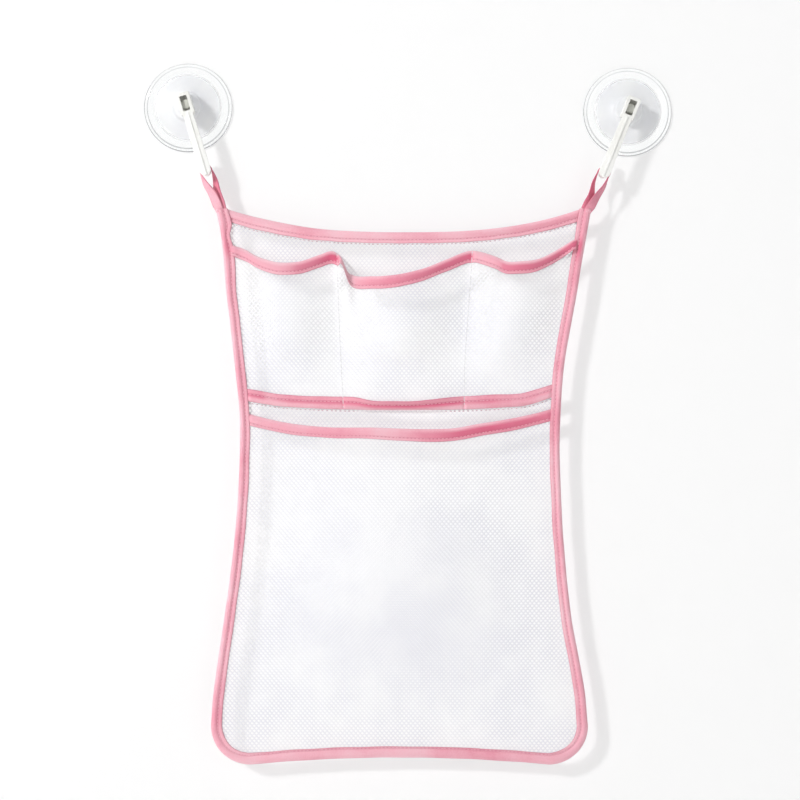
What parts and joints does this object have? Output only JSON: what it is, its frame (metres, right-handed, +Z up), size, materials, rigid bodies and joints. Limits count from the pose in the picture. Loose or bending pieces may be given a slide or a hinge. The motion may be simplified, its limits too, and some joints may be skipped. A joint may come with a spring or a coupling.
{
  "type": "bath toy organizer",
  "caption": "Hanging mesh organizer with open pockets and taped edges, held to a wall by ribbon loops, moulded hooks and suction cups.",
  "frame": {"origin": "on the wall face, halfway between the centres of the suction cups", "axes": "+Z up, +X to the right as seen from the front, +Y into the wall, so the front faces -Y"},
  "size_m": [0.4482, 0.0365, 0.5918],
  "materials": {
    "cup_vinyl": "clear soft vinyl, glossy",
    "hook_plastic": "white moulded plastic, slightly glossy",
    "pink_tape": "woven polyester tape",
    "white_net": "fine knitted net",
    "white_thread": "sewing thread",
    "pink_thread": "sewing thread"
  },
  "bodies": {
    "wall_cups": {"left_cup": "cup_vinyl", "right_cup": "cup_vinyl"},
    "left_hook": {"left_hook": "hook_plastic"},
    "right_hook": {"right_hook": "hook_plastic"},
    "left_loop": {"left_loop": "pink_tape"},
    "right_loop": {"right_loop": "pink_tape"},
    "bag": {"back_panel": "white_net", "upper_pocket_panel": "white_net", "main_pocket_panel": "white_net", "perimeter_binding": "pink_tape", "top_edge_binding": "pink_tape", "upper_pocket_top_binding": "pink_tape", "upper_pocket_bottom_binding": "pink_tape", "main_pocket_top_binding": "pink_tape", "left_divider_seam": "white_thread", "right_divider_seam": "white_thread", "perimeter_stitching": "pink_thread", "top_edge_stitching": "pink_thread", "upper_pocket_top_stitching": "pink_thread", "upper_pocket_bottom_stitching": "pink_thread", "main_pocket_stitching": "pink_thread", "left_corner_bartack": "pink_thread", "right_corner_bartack": "pink_thread"}
  },
  "joints": [
    {"name": "left_hook_swivel", "type": "hinge", "parent": "wall_cups", "child": "left_hook", "pos_m": [-0.1866, -0.0186, 0.0018], "axis": [0, 1, 0], "range_deg": [-15, 15]},
    {"name": "left_loop_pivot", "type": "hinge", "parent": "left_hook", "child": "left_loop", "pos_m": [-0.16984, -0.01725, -0.05373], "axis": [0, 1, 0], "range_deg": [-16.9, 16.9]},
    {"name": "bag_swing_out", "type": "hinge", "parent": "left_loop", "child": "bag", "pos_m": [-0.1565, -0.0205, -0.0855], "axis": [-1, 0, 0], "range_deg": [0, 60]},
    {"name": "right_hook_swivel", "type": "hinge", "parent": "wall_cups", "child": "right_hook", "pos_m": [0.1866, -0.0186, -0.0018], "axis": [0, 1, 0], "range_deg": [-15.6, 15.6]},
    {"name": "right_loop_pivot", "type": "hinge", "parent": "right_hook", "child": "right_loop", "pos_m": [0.16468, -0.01725, -0.0555], "axis": [0, 1, 0], "range_deg": [-17.4, 17.4]}
  ],
  "couplings": [
    {"joint": "right_hook_swivel", "follows": "left_hook_swivel", "ratio": 1.0301},
    {"joint": "left_loop_pivot", "follows": "left_hook_swivel", "ratio": -1.1176},
    {"joint": "right_loop_pivot", "follows": "left_hook_swivel", "ratio": -1.1477}
  ]
}
